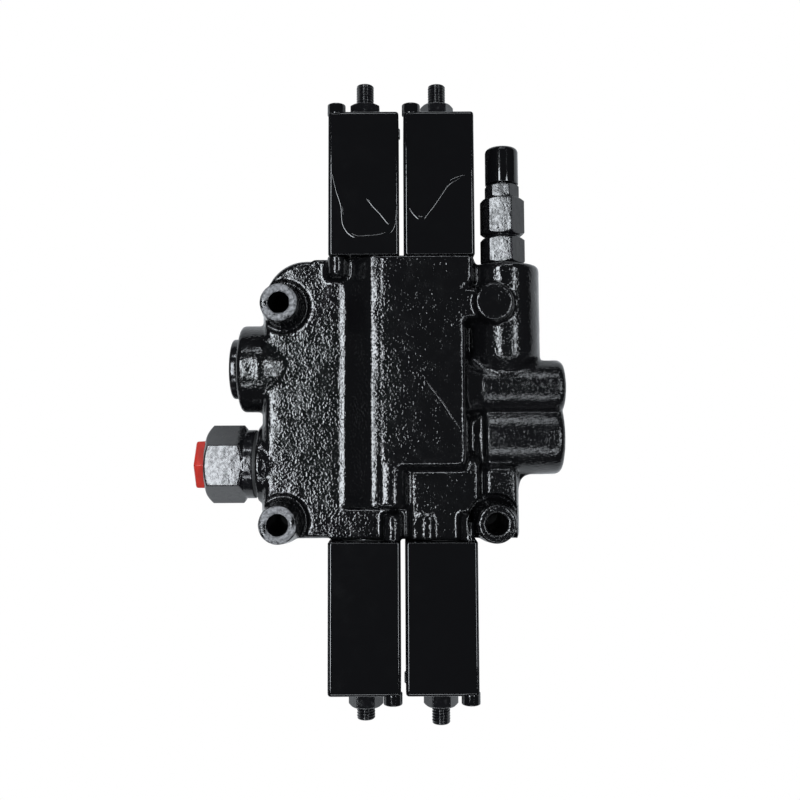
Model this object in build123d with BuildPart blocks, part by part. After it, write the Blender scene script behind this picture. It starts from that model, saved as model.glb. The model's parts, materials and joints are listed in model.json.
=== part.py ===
from build123d import *
import os
from math import cos, radians, tan

os.makedirs("parts", exist_ok=True)

# Two-spool hydraulic control valve, lying on its machined port face.
# X runs across the two spools, Y along them, Z up from the port face.
# All sizes are in millimetres.

# Body casting
body_length = 153.5
half_length = body_length / 2
parting_z = 22.0
back_z = 9.0
valley_z = 34.0
plate_z = 46.0
plate_left_x = -75.0
plate_end_gap = 1.4
plate_right_x = 30.0
plate_draft = 12.0
plate_top_corner = 22.0
plate_low_corner = 10.0
plate_edge = 3.0
right_reach = 66.2
draft = 9.0
form_corner = 4.0
form_edge = 2.5
end_stock = 12.0

# Spools and their bores
spool_pitch = 41.0
spool_z = 33.0
spool_diameter = 18.0
spool_stroke = 7.0
running_gap = 0.03
stroke_gap = 0.3
land_chamfer = 0.4
spool_groove_depth = 3.0
spool_groove_width = 13.0

# Slanted ridge over the left spool, with a short rib beside it
ridge_foot_x = -33.0
ridge_shoulder_x = -16.5
ridge_end_to_end = 17.3
ridge_foot_round = 7.0
ridge_shoulder_round = 5.0
short_rib_x = -7.0
short_rib_radius = 10.0
short_rib_length = 40.0

# Raised cast forms on the front
plateau_left_x = -12.5
plateau_right_x = 34.0
plateau_bottom_y = -37.0
plateau_z = 57.8
slope_run = 4.5
end_pad_right_x = 38.5
end_pad_length = 16.5
web_right_x = 47.0
web_width = 16.0
pad_left_x = 4.0
pad_right_x = 41.5
pad_z = 50.5
side_pad_left_x = 44.8
side_pad_right_x = 62.0
side_pad_top_y = -38.0
side_pad_z = 48.5
arch_x = 12.75
arch_radius = 7.2
arch_z = 52.5
arch_length = 14.4
gusset_radius = 6.0

# Mounting bosses
mount_left_x = -65.6
mount_spacing_x = 115.0
mount_to_end = 9.85
mount_spacing_y = 117.4
mount_face_z = 63.0
mount_face_radius = 10.3
mount_foot_radius = 12.3
mount_hole = 11.0
mount_pocket_radius = 14.6
mount_pocket_depth = 3.0

# Port face at the back
face_width = 80.0
face_length = 92.0
face_corner = 8.0
work_port_spread = 54.0
work_port_core = 18.6
work_port_depth = 16.0
work_spotface = 32.0
spotface_depth = 0.6
passage = 11.0

# Ports on the right side
pressure_y = half_length - 70.85
pressure_boss_radius = 15.2
pressure_root_radius = 22.5
pressure_root_length = 12.0
pressure_root_draft = 31.0
pressure_reach = 90.2
pressure_core = 18.6
pressure_depth = 18.0
tank_y = -half_length + 54.85
tank_z = 22.0
tank_boss_radius = 21.4
tank_start_x = 46.0
tank_reach = 90.2
tank_core = 24.1
tank_depth = 20.0
tank_passage = 15.0
port_rim = 4.0

# Ports on the left side
blank_y = half_length - 59.55
left_port_z = 26.0
blank_boss_radius = 24.7
blank_reach = 90.8
left_boss_root_x = -77.0
left_boss_root_length = 20.0
left_boss_draft = 20.0
left_depth = 22.0
adapter_y = -half_length + 40.25
adapter_boss_radius = 21.5
adapter_boss_reach = 80.6

# Main relief valve
relief_x = 57.4
relief_boss_radius = 20.2
relief_boss_end_y = half_length - 2.75
relief_boss_length = 52.0
relief_root_length = 8.0
relief_root_draft = 35.0
relief_spotface = 29.0
relief_cavity_diameter = 20.0
relief_cavity_depth = 46.0

# Pilot end caps
cap_width = 38.5
cap_length = 79.5
cap_depth = 50.0
cap_edge = 1.6
seat_chamber_diameter = 27.0
spring_pocket_diameter = 23.0
spring_pocket_depth = 58.0
cap_seal_radius = 16.2
cap_seal_section = 2.0
pilot_port_core = 11.8
pilot_port_depth = 12.0
pilot_port_offset = 30.0
cap_screw_x = 15.0
cap_screw_z = 19.6
cap_screw_diameter = 6.0
cap_screw_head = 10.0
cap_screw_head_height = 6.0
cap_screw_grip = 10.0
cap_screw_socket = 5.0
cap_spotface = 10.8
cap_spotface_depth = 1.0
lug_radius = 5.3
lug_lengths = {"a": 12.0, "b": 15.0}
fit_gap = 0.05

# Spring seats, springs and stroke adjusters
seat_thickness = 4.0
seat_clearance = 0.3
nose_diameter = 10.0
retainer_head = 12.0
retainer_head_height = 4.0
retainer_diameter = 6.0
retainer_grip = 14.0
retainer_socket = 5.0
spring_wire = 2.4
spring_radius = 9.0
spring_turns = 5.0
adjuster_diameter = 10.0
adjuster_length = 73.0
adjuster_tips = {"1a": 103.15, "2a": 102.85, "1b": 97.95, "2b": 100.55}
adjuster_tip_round = 1.2
adjuster_socket = 5.0
ring_section = 1.0
ring_to_cap_top = 15.25
lock_nut_flats = 16.5
lock_nut_height = 8.0
lock_nut_turns = {"1a": 30.0, "2a": 0.0, "1b": 0.0, "2b": 0.0}
washer_thickness = 1.6
washer_rim = 0.5
cap_nose_height = 1.8
cap_nose_rim = 1.0

# Load checks
check_plug_diameter = 16.0
check_plug_length = 7.0
check_plug_socket = 8.0
check_bore = 11.0
check_seat_z = 21.0
check_lift = 2.5
check_throat = 7.0
check_poppet_z = 12.5
check_wire = 0.8
check_spring_radius = 3.6
check_spring_turns = 3.0

# Relief cartridge
cartridge_flats = 22.0
cartridge_hex_length = 15.0
cartridge_washer = 1.4
cartridge_turn = -12.0
groove_length = 1.5
groove_diameter = 19.0
housing_length = 21.0
housing_top_wall = 6.0
relief_nut_flats = 17.0
relief_nut_height = 8.2
relief_cap_diameter = 18.8
relief_cap_length = 21.2
relief_cap_bore = 13.0
relief_cap_top_wall = 3.0
relief_cap_round = 2.6
relief_bore = 12.0
relief_seat_bore = 6.0
relief_nose_gap = 2.0
relief_nose_wall = 6.0
relief_poppet_length = 9.0
relief_seat_length = 4.0
relief_screw_diameter = 8.0
relief_screw_socket = 4.0
relief_lift = 2.0
relief_wire = 1.4
relief_spring_turns = 9.0

# Blanking plug and carry-over adapter
plug_collar_radius = 17.0
plug_collar = 4.2
plug_socket = 12.0
plug_round = 1.2
plug_washer = 0.8
side_thread = 26.0
side_thread_length = 16.0
adapter_flats = 38.0
adapter_hex_length = 22.0
adapter_neck_radius = 19.2
adapter_neck = 4.8
adapter_washer = 1.6
seal_rim = 0.6
adapter_bore = 24.4
adapter_bore_depth = 17.0
protector_radius = 14.9
protector_reach = 6.2
protector_round = 1.5
protector_shank = 11.0

# Sizes worked out from the ones above
spool_xs = {"1": -spool_pitch / 2, "2": spool_pitch / 2}
ends = {"a": 1, "b": -1}
bore_radius = spool_diameter / 2 + running_gap
plate_half_length = half_length - plate_end_gap
plate_spread = (plate_z - parting_z) * tan(radians(plate_draft))
mount_right_x = mount_left_x + mount_spacing_x
mount_bottom_y = -half_length + mount_to_end
mount_top_y = mount_bottom_y + mount_spacing_y
mount_holes = [
    (mount_left_x, mount_bottom_y),
    (mount_right_x, mount_bottom_y),
    (mount_left_x, mount_top_y),
]
mount_points = mount_holes + [(mount_right_x, mount_top_y)]
pocket_z = plate_z - mount_pocket_depth
cap_bottom_z = spool_z - cap_depth / 2
work_port_ys = (-work_port_spread / 2, work_port_spread / 2)
work_ports = [(x, y) for x in spool_xs.values() for y in work_port_ys]


def across(flats):
    """Corner radius of a hexagon from the size across its flats."""
    return flats / 2 / cos(radians(30))


def end_plane(x, y, z, side):
    """Plane square to the spools that faces out of the end given by side."""
    return Plane(origin=(x, y, z), x_dir=(1, 0, 0), z_dir=(0, side, 0))


def side_plane(x, y, z, side):
    """Plane square to X that faces right for side 1 and left for side -1."""
    return Plane(origin=(x, y, z), x_dir=(0, 1, 0), z_dir=(side, 0, 0))


def back_plane(x, y):
    """Plane in the port face that faces down, out of the body."""
    return Plane(origin=(x, y, 0), x_dir=(1, 0, 0), z_dir=(0, 0, -1))


def mill_ends():
    """Cut the current part flat at both end faces of the body."""
    for side in ends.values():
        with BuildSketch(end_plane(0, side * half_length, spool_z, side)) as stock:
            Rectangle(2 * body_length, body_length)
        extrude(stock.sketch, amount=2 * end_stock, mode=Mode.SUBTRACT)


def drafted_pad(x_low, x_high, y_low, y_high, top_z, corner=form_corner, edge=form_edge):
    """Cast pad given by its top, which spreads with the draft down to the parting plane."""
    with BuildPart() as pad:
        with BuildSketch(Plane.XY.offset(top_z)):
            with Locations(((x_low + x_high) / 2, (y_low + y_high) / 2)):
                RectangleRounded(x_high - x_low, y_high - y_low, corner)
        extrude(amount=top_z - parting_z, dir=(0, 0, -1), taper=-draft)
        fillet(pad.faces().sort_by(Axis.Z)[-1].edges(), edge)
        mill_ends()
    return pad.part


def round_boss(plane, radius, length, edge=form_edge):
    """Cylinder that grows from a plane, rounded at its far end."""
    with BuildPart() as boss:
        with BuildSketch(plane):
            Circle(radius)
        extrude(amount=length)
        far = boss.faces().filter_by(GeomType.PLANE).sort_by(Axis(plane.origin, plane.z_dir))[-1]
        fillet(far.edges(), edge)
    return boss.part


def boss_root(plane, radius, length, taper):
    """Cone that grows from a plane and gets thinner, where a boss runs into the casting."""
    with BuildPart() as root:
        with BuildSketch(plane):
            Circle(radius)
        extrude(amount=length, taper=taper)
    return root.part


def hex_prism(plane, flats, length, turn=0.0):
    """Hexagon bar from a plane, with the corners of both ends turned off at 30 degrees."""
    corner = across(flats)
    flat_end = flats / 2 * 0.95
    rise = (corner - flat_end) * tan(radians(30))
    profile_plane = Plane(origin=plane.origin, x_dir=plane.x_dir, z_dir=-plane.y_dir)
    with BuildPart() as bar:
        with BuildSketch(plane):
            RegularPolygon(corner, 6, rotation=turn)
        extrude(amount=length)
        with BuildSketch(profile_plane):
            with BuildLine():
                Polyline(
                    (0, 0), (flat_end, 0), (corner, rise),
                    (corner, length - rise), (flat_end, length), (0, length), close=True,
                )
            make_face()
        revolve(axis=Axis(plane.origin, plane.z_dir), mode=Mode.INTERSECT)
    return bar.part


def coil(plane, radius, wire, length, turns):
    """Compression spring that stands on a plane and is length long over its wire."""
    rise = length - wire
    with BuildPart() as spring:
        with BuildLine():
            start = plane.origin + plane.z_dir * (wire / 2)
            path = Helix(
                pitch=rise / turns, height=rise, radius=radius, center=start, direction=plane.z_dir,
            )
        with BuildSketch(Plane(origin=path @ 0, z_dir=path % 0)):
            Circle(wire / 2)
        sweep(path=path, is_frenet=True)
    return spring.part


def drill(plane, diameter, depth):
    """Round hole into the current part, from a plane that faces out of it."""
    with BuildSketch(plane) as mouth:
        Circle(diameter / 2)
    extrude(mouth.sketch, amount=-depth, mode=Mode.SUBTRACT)


# Left plate, drawn at its top and spreading with the draft to the parting plane
with BuildPart() as left_plate:
    with BuildSketch(Plane.XY.offset(plate_z)) as plate_top:
        with Locations((plate_left_x, -plate_half_length)):
            Rectangle(plate_right_x - plate_left_x, 2 * plate_half_length, align=Align.MIN)
        plate_corners = plate_top.vertices().group_by(Axis.X)[0].sort_by(Axis.Y)
        fillet(plate_corners[-1], plate_top_corner)
        plate_corners = plate_top.vertices().group_by(Axis.X)[0].sort_by(Axis.Y)
        fillet(plate_corners[0], plate_low_corner)
    extrude(amount=plate_z - parting_z, dir=(0, 0, -1), taper=-plate_draft)
    fillet(left_plate.faces().sort_by(Axis.Z)[-1].edges().sort_by(Axis.X)[:-1], plate_edge)
    mill_ends()

# Lower half of the mould, under the parting plane
with BuildPart() as lower_half:
    with BuildSketch(Plane.XY.offset(parting_z)) as lower_outline:
        with Locations((plate_left_x - plate_spread, -plate_half_length - plate_spread)):
            Rectangle(
                right_reach - plate_left_x + plate_spread,
                2 * (plate_half_length + plate_spread), align=Align.MIN,
            )
        outline_corners = lower_outline.vertices().group_by(Axis.X)[0].sort_by(Axis.Y)
        fillet(outline_corners[-1], plate_top_corner + plate_spread)
        outline_corners = lower_outline.vertices().group_by(Axis.X)[0].sort_by(Axis.Y)
        fillet(outline_corners[0], plate_low_corner + plate_spread)
    extrude(amount=parting_z - back_z, dir=(0, 0, -1), taper=draft)
    mill_ends()

with BuildPart() as port_face:
    with BuildSketch():
        RectangleRounded(face_width, face_length, face_corner)
    extrude(amount=parting_z)

pads = [
    drafted_pad(plateau_left_x, plateau_right_x, plateau_bottom_y, half_length + end_stock, plateau_z),
    drafted_pad(
        spool_xs["2"], end_pad_right_x, half_length - end_pad_length, half_length + end_stock, plateau_z,
    ),
    drafted_pad(
        spool_xs["2"], web_right_x, mount_top_y - web_width / 2, mount_top_y + web_width / 2, plateau_z,
    ),
    drafted_pad(pad_left_x, pad_right_x, -half_length - end_stock, plateau_bottom_y + form_corner, pad_z),
    drafted_pad(
        side_pad_left_x, side_pad_right_x, -half_length - end_stock, side_pad_top_y, side_pad_z,
    ),
]

pressure_root_x = plateau_right_x - form_edge
bosses = [
    round_boss(
        side_plane(pressure_root_x, pressure_y, spool_z, 1), pressure_boss_radius,
        pressure_reach - pressure_root_x, port_rim,
    ),
    boss_root(
        side_plane(pressure_root_x, pressure_y, spool_z, 1), pressure_root_radius,
        pressure_root_length, pressure_root_draft,
    ),
    round_boss(
        side_plane(tank_start_x, tank_y, tank_z, 1), tank_boss_radius, tank_reach - tank_start_x, port_rim,
    ),
    round_boss(
        side_plane(left_boss_root_x, blank_y, left_port_z, -1), blank_boss_radius,
        blank_reach + left_boss_root_x,
    ),
    boss_root(
        side_plane(left_boss_root_x, blank_y, left_port_z, 1), blank_boss_radius,
        left_boss_root_length, left_boss_draft,
    ),
    boss_root(
        side_plane(left_boss_root_x, adapter_y, left_port_z, 1), adapter_boss_radius,
        left_boss_root_length, left_boss_draft,
    ),
    round_boss(
        side_plane(left_boss_root_x, adapter_y, left_port_z, -1), adapter_boss_radius,
        adapter_boss_reach + left_boss_root_x, land_chamfer,
    ),
    round_boss(
        end_plane(relief_x, relief_boss_end_y - relief_boss_length, spool_z, 1), relief_boss_radius,
        relief_boss_length,
    ),
    boss_root(
        end_plane(relief_x, relief_boss_end_y - relief_boss_length, spool_z, -1), relief_boss_radius,
        relief_root_length, relief_root_draft,
    ),
    round_boss(end_plane(arch_x, -half_length, arch_z - arch_radius, 1), arch_radius, arch_length),
]

# Lugs that hold the front screws of the caps, each with a stem down into the casting
lug_z = spool_z + cap_screw_z
lug_stem = lug_z - valley_z
lugs = []
for letter, side in ends.items():
    for x in spool_xs.values():
        lug_x = x - side * cap_screw_x
        with BuildPart() as lug:
            with BuildSketch(end_plane(lug_x, side * half_length, lug_z, -side)):
                Circle(lug_radius)
                with Locations((0, -side * lug_stem / 2)):
                    Rectangle(2 * lug_radius, lug_stem)
            extrude(amount=lug_lengths[letter])
            lug_end = lug.faces().filter_by(Axis.Y).sort_by(Axis.Y)[0 if side > 0 else -1]
            fillet(lug_end.edges(), form_edge)
        lugs.append(lug.part)

# Ridge with one slanted flank and rounded shoulders, and the short rib beside it
ridge_end_y = -half_length + ridge_end_to_end
with BuildPart() as ridge:
    with BuildSketch(end_plane(0, ridge_end_y, 0, 1)) as ridge_profile:
        with BuildLine():
            Polyline(
                (plate_left_x / 2, -parting_z), (plate_left_x / 2 - end_stock, -plate_z),
                (ridge_foot_x, -plate_z), (ridge_shoulder_x, -plateau_z),
                (plateau_left_x, -plateau_z), (plateau_left_x, -parting_z), close=True,
            )
        make_face()
        fillet(ridge_profile.vertices().sort_by_distance((ridge_foot_x, -plate_z))[0], ridge_foot_round)
        shoulder = ridge_profile.vertices().sort_by_distance((ridge_shoulder_x, -plateau_z))[0]
        fillet(shoulder, ridge_shoulder_round)
    extrude(amount=half_length - ridge_end_y)

short_rib = round_boss(
    end_plane(short_rib_x, ridge_end_y + short_rib_length, plateau_z - short_rib_radius, -1),
    short_rib_radius, short_rib_length,
)

# Slope from the plateau down to the lower pad
with BuildPart() as slope:
    with BuildSketch(side_plane(pad_left_x, 0, 0, 1)):
        with BuildLine():
            Polyline(
                (plateau_bottom_y + form_corner, plateau_z - form_edge),
                (plateau_bottom_y, plateau_z - form_edge),
                (plateau_bottom_y - slope_run, pad_z - form_edge),
                (plateau_bottom_y + form_corner, pad_z - form_edge), close=True,
            )
        make_face()
    extrude(amount=plateau_right_x - pad_left_x)

# Fillet of the casting between the right side and the return port boss
gusset_y = tank_y - tank_boss_radius
with BuildPart() as gusset:
    with BuildSketch(Plane.XY.offset(tank_z - gusset_radius)):
        with Locations((right_reach + gusset_radius, gusset_y - gusset_radius)):
            Rectangle(3 * gusset_radius, 2 * gusset_radius, align=(Align.MAX, Align.MIN))
            Circle(gusset_radius, mode=Mode.SUBTRACT)
    extrude(amount=2 * gusset_radius)

with BuildPart() as valve_body:
    add(lower_half.part)
    add(left_plate.part)
    add(port_face.part)
    # Floor of the valley between the plateau and the right side
    with BuildSketch(Plane.XY.offset(parting_z)):
        with Locations((0, -half_length)):
            Rectangle(right_reach, body_length, align=Align.MIN)
    extrude(amount=valley_z - parting_z, taper=draft)
    # Machined ends that carry the caps
    for side in ends.values():
        with BuildSketch(end_plane(0, side * half_length, (back_z + plate_z) / 2, side)):
            Rectangle(spool_pitch + cap_width, plate_z - back_z)
        extrude(amount=-end_stock)
    for form in pads + bosses + lugs + [ridge.part, short_rib, slope.part, gusset.part]:
        add(form)
    # Mounting bosses stand in shallow round pockets of the plate
    for x, y in mount_holes:
        with BuildSketch(Plane((x, y, mount_face_z))):
            Circle(mount_pocket_radius)
        extrude(amount=pocket_z - mount_face_z, mode=Mode.SUBTRACT)
    for x, y in mount_points:
        with BuildSketch(Plane((x, y, back_z))):
            Circle(mount_foot_radius)
        extrude(amount=pocket_z - back_z)
        with BuildSketch(Plane((x, y, pocket_z))):
            Circle(mount_foot_radius)
        with BuildSketch(Plane((x, y, mount_face_z))):
            Circle(mount_face_radius)
        loft()
    for x in spool_xs.values():
        drill(end_plane(x, half_length, spool_z, 1), 2 * bore_radius, body_length)
    for x, y in mount_holes:
        drill(Plane((x, y, mount_face_z)), mount_hole, mount_face_z)
    for x, y in work_ports:
        drill(back_plane(x, y), work_spotface, spotface_depth)
        drill(back_plane(x, y), work_port_core, work_port_depth)
        drill(back_plane(x, y), passage, spool_z)
    for x in spool_xs.values():
        drill(back_plane(x, 0), check_plug_diameter + 2 * fit_gap, check_plug_length)
        drill(back_plane(x, 0), check_bore, check_seat_z)
        drill(back_plane(x, 0), check_throat, spool_z)
    pressure_mouth = side_plane(pressure_reach, pressure_y, spool_z, 1)
    drill(pressure_mouth, pressure_core, pressure_depth)
    drill(pressure_mouth, passage, pressure_reach - spool_xs["2"])
    tank_mouth = side_plane(tank_reach, tank_y, tank_z, 1)
    drill(tank_mouth, tank_core, tank_depth)
    drill(tank_mouth, tank_passage, tank_reach - tank_start_x)
    blank_mouth = side_plane(-blank_reach, blank_y, left_port_z, -1)
    drill(blank_mouth, side_thread + 2 * fit_gap, left_depth)
    drill(blank_mouth, tank_passage, blank_reach + spool_xs["1"])
    adapter_mouth = side_plane(-adapter_boss_reach, adapter_y, left_port_z, -1)
    drill(adapter_mouth, side_thread + 2 * fit_gap, left_depth)
    drill(adapter_mouth, tank_passage, adapter_boss_reach + spool_xs["1"])
    relief_mouth = end_plane(relief_x, half_length, spool_z, 1)
    drill(relief_mouth, relief_spotface, half_length - relief_boss_end_y)
    drill(relief_mouth, relief_cavity_diameter + 2 * fit_gap, relief_cavity_depth)
    drill(relief_mouth, relief_seat_bore, half_length - pressure_y)
    for side in ends.values():
        for x in spool_xs.values():
            for corner in (-1, 1):
                screw_x = x + corner * cap_screw_x
                screw_z = spool_z - corner * side * cap_screw_z
                spot = end_plane(screw_x, side * half_length, screw_z, side)
                drill(spot, cap_screw_diameter + 2 * fit_gap, cap_screw_grip + 1)

valve_body.part.label = "valve_body"
export_step(valve_body.part, "parts/valve_body.step")

# Pilot end caps
seat_inner = stroke_gap + spool_stroke
chamber_depth = 2 * seat_inner + seat_thickness
cap_names = [number + letter for number in spool_xs for letter in ends]


def cap_frame(name, y_out=0.0):
    """Plane on a spool's axis that faces out of its end, y_out beyond the body."""
    side = ends[name[1]]
    return end_plane(spool_xs[name[0]], side * (half_length + y_out), spool_z, side)


def screw_spots(name):
    """Two opposite corners of a cap, as offsets across it and in height."""
    side = ends[name[1]]
    return [(-side * cap_screw_x, cap_screw_z), (side * cap_screw_x, -cap_screw_z)]


def shifted(plane, offset_x, offset_z):
    """The same plane with its origin moved across the cap and in height."""
    origin = plane.origin + Vector(offset_x, 0, offset_z)
    return Plane(origin=origin, x_dir=plane.x_dir, z_dir=plane.z_dir)


for name in cap_names:
    foot = cap_frame(name)
    top = cap_frame(name, cap_length)
    nose = cap_frame(name, cap_length + cap_nose_height)
    with BuildPart() as cap:
        with BuildSketch(foot):
            RectangleRounded(cap_width, cap_depth, cap_edge)
        extrude(amount=cap_length)
        far = cap.faces().filter_by(GeomType.PLANE).sort_by(Axis(foot.origin, foot.z_dir))[-1]
        fillet(far.edges(), cap_edge)
        with BuildSketch(top):
            Circle(across(lock_nut_flats) + cap_nose_rim)
        extrude(amount=cap_nose_height)
        mouth = Plane(origin=foot.origin, x_dir=foot.x_dir, z_dir=-foot.z_dir)
        drill(mouth, seat_chamber_diameter, chamber_depth)
        drill(mouth, spring_pocket_diameter, spring_pocket_depth)
        drill(nose, adjuster_diameter + 2 * fit_gap, cap_length)
        with BuildSketch(foot):
            Circle(cap_seal_radius + cap_seal_section / 2 + fit_gap)
            Circle(cap_seal_radius - cap_seal_section / 2 - fit_gap, mode=Mode.SUBTRACT)
        extrude(amount=cap_seal_section, mode=Mode.SUBTRACT)
        for x, z in screw_spots(name):
            drill(shifted(top, x, z), cap_spotface, cap_spotface_depth)
            drill(shifted(top, x, z), cap_screw_diameter + 2 * fit_gap, cap_length)
        pilot = Plane(
            origin=(foot.origin.X, ends[name[1]] * (half_length + pilot_port_offset), cap_bottom_z),
            x_dir=(1, 0, 0), z_dir=(0, 0, -1),
        )
        drill(pilot, pilot_port_core, pilot_port_depth)
        drill(pilot, pilot_port_core / 2, cap_depth / 2)
    cap.part.label = "pilot_cap_" + name
    export_step(cap.part, f"parts/pilot_cap_{name}.step")

    head_out = cap_length - cap_spotface_depth
    with BuildPart() as cap_screws:
        for x, z in screw_spots(name):
            head_foot = shifted(cap_frame(name, head_out), x, z)
            with BuildSketch(head_foot):
                Circle(cap_screw_head / 2)
            extrude(amount=cap_screw_head_height)
            with BuildSketch(head_foot):
                Circle(cap_screw_diameter / 2)
            extrude(amount=-(head_out + cap_screw_grip))
            socket = shifted(cap_frame(name, head_out + cap_screw_head_height), x, z)
            with BuildSketch(socket):
                RegularPolygon(across(cap_screw_socket), 6)
            extrude(amount=-cap_screw_head_height / 2, mode=Mode.SUBTRACT)
    cap_screws.part.label = "cap_screws_" + name
    export_step(cap_screws.part, f"parts/cap_screws_{name}.step")

with BuildPart() as cap_seals:
    for name in cap_names:
        with BuildSketch(cap_frame(name)):
            Circle(cap_seal_radius + cap_seal_section / 2)
            Circle(cap_seal_radius - cap_seal_section / 2, mode=Mode.SUBTRACT)
        extrude(amount=cap_seal_section - fit_gap)
cap_seals.part.label = "cap_seals"
export_step(cap_seals.part, "parts/cap_seals.step")

# Spools with the lands and grooves that meter the flow
spool_end = half_length + seat_inner
groove_radius = spool_diameter / 2 - spool_groove_depth
for number, x in spool_xs.items():
    with BuildPart() as spool:
        with BuildSketch(end_plane(x, -spool_end, spool_z, 1)):
            Circle(spool_diameter / 2)
        extrude(amount=2 * spool_end)
        chamfer(spool.faces().filter_by(Axis.Y).edges(), land_chamfer)
        for y in (work_port_ys[0], 0, work_port_ys[1]):
            with BuildSketch(end_plane(x, y - spool_groove_width / 2, spool_z, 1)):
                Circle(spool_diameter)
                Circle(groove_radius, mode=Mode.SUBTRACT)
            extrude(amount=spool_groove_width, mode=Mode.SUBTRACT)
        for side in ends.values():
            with BuildSketch(end_plane(x, side * spool_end, spool_z, side)):
                Circle(nose_diameter / 2)
            extrude(amount=seat_thickness)
            nose_end = end_plane(x, side * (spool_end + seat_thickness), spool_z, side)
            drill(nose_end, retainer_diameter + 2 * fit_gap, seat_thickness + retainer_grip)
    spool.part.label = "spool_" + number
    export_step(spool.part, f"parts/spool_{number}.step")

# Spring seats, held on the spool ends by retaining screws
seat_outer = seat_inner + seat_thickness
for name in cap_names:
    with BuildPart() as seat:
        with BuildSketch(cap_frame(name, seat_inner)):
            Circle(seat_chamber_diameter / 2 - seat_clearance)
            Circle(nose_diameter / 2 + fit_gap, mode=Mode.SUBTRACT)
        extrude(amount=seat_thickness)
        chamfer(seat.edges().filter_by(GeomType.CIRCLE).sort_by(SortBy.RADIUS)[-1], land_chamfer)
    seat.part.label = "spring_seat_" + name
    export_step(seat.part, f"parts/spring_seat_{name}.step")

    spring = coil(
        cap_frame(name, seat_outer + fit_gap), spring_radius, spring_wire,
        spring_pocket_depth - seat_outer - 2 * fit_gap, spring_turns,
    )
    spring.label = "centring_spring_" + name
    export_step(spring, f"parts/centring_spring_{name}.step")

for number in spool_xs:
    with BuildPart() as retainers:
        for letter in ends:
            head_foot = cap_frame(number + letter, seat_outer)
            with BuildSketch(head_foot):
                Circle(retainer_head / 2)
            extrude(amount=retainer_head_height)
            with BuildSketch(head_foot):
                Circle(retainer_diameter / 2)
            extrude(amount=-retainer_grip)
            with BuildSketch(cap_frame(number + letter, seat_outer + retainer_head_height)):
                RegularPolygon(across(retainer_socket), 6)
            extrude(amount=-retainer_head_height / 2, mode=Mode.SUBTRACT)
    retainers.part.label = "seat_screws_" + number
    export_step(retainers.part, f"parts/seat_screws_{number}.step")

# Stroke adjusters with their rings, washers and lock nuts
ring_groove_radius = adjuster_diameter / 2 - ring_section - fit_gap
ring_out = cap_length - ring_to_cap_top
nut_foot = cap_length + cap_nose_height + washer_thickness
for name in cap_names:
    tip = adjuster_tips[name]
    with BuildPart() as adjuster:
        with BuildSketch(cap_frame(name, tip)):
            Circle(adjuster_diameter / 2)
        extrude(amount=-adjuster_length)
        fillet(adjuster.faces().filter_by(Axis.Y).edges(), adjuster_tip_round)
        with BuildSketch(cap_frame(name, tip)):
            RegularPolygon(across(adjuster_socket), 6)
        extrude(amount=-adjuster_socket, mode=Mode.SUBTRACT)
        with BuildSketch(cap_frame(name, ring_out - ring_section / 2 - fit_gap)):
            Circle(adjuster_diameter)
            Circle(ring_groove_radius, mode=Mode.SUBTRACT)
        extrude(amount=ring_section + 2 * fit_gap, mode=Mode.SUBTRACT)
    adjuster.part.label = "stroke_adjuster_" + name
    export_step(adjuster.part, f"parts/stroke_adjuster_{name}.step")

    with BuildPart() as ring:
        with BuildSketch(cap_frame(name, ring_out - ring_section / 2)):
            Circle(adjuster_diameter / 2)
            Circle(ring_groove_radius + fit_gap, mode=Mode.SUBTRACT)
        extrude(amount=ring_section)
    ring.part.label = "adjuster_ring_" + name
    export_step(ring.part, f"parts/adjuster_ring_{name}.step")

    nut_blank = hex_prism(cap_frame(name, nut_foot), lock_nut_flats, lock_nut_height, lock_nut_turns[name])
    with BuildPart() as lock_nut:
        add(nut_blank)
        drill(
            cap_frame(name, nut_foot + lock_nut_height), adjuster_diameter + 2 * fit_gap, lock_nut_height,
        )
    lock_nut.part.label = "lock_nut_" + name
    export_step(lock_nut.part, f"parts/lock_nut_{name}.step")

with BuildPart() as adjuster_washers:
    for name in cap_names:
        with BuildSketch(cap_frame(name, cap_length + cap_nose_height)):
            Circle(across(lock_nut_flats) + washer_rim)
            Circle(adjuster_diameter / 2 + fit_gap, mode=Mode.SUBTRACT)
        extrude(amount=washer_thickness)
adjuster_washers.part.label = "adjuster_washers"
export_step(adjuster_washers.part, "parts/adjuster_washers.step")

# Load checks under the port face
for number, x in spool_xs.items():
    with BuildPart() as check_plug:
        with BuildSketch(Plane((x, 0, land_chamfer))):
            Circle(check_plug_diameter / 2)
        extrude(amount=check_plug_length - land_chamfer)
        with BuildSketch(Plane((x, 0, land_chamfer))):
            RegularPolygon(across(check_plug_socket), 6)
        extrude(amount=check_plug_length / 2, mode=Mode.SUBTRACT)
    check_plug.part.label = "load_check_plug_" + number
    export_step(check_plug.part, f"parts/load_check_plug_{number}.step")

    with BuildPart() as check_poppet:
        with BuildSketch(Plane((x, 0, check_poppet_z))):
            Circle(check_bore / 2 - fit_gap)
        extrude(amount=check_seat_z - check_poppet_z - fit_gap)
        with BuildSketch(Plane((x, 0, check_seat_z - fit_gap))):
            Circle(check_throat / 2 - fit_gap)
        extrude(amount=check_lift / 2)
    check_poppet.part.label = "load_check_poppet_" + number
    export_step(check_poppet.part, f"parts/load_check_poppet_{number}.step")

    check_spring = coil(
        Plane((x, 0, check_plug_length + fit_gap)), check_spring_radius, check_wire,
        check_poppet_z - check_plug_length - 2 * fit_gap, check_spring_turns,
    )
    check_spring.label = "load_check_spring_" + number
    export_step(check_spring, f"parts/load_check_spring_{number}.step")

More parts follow.
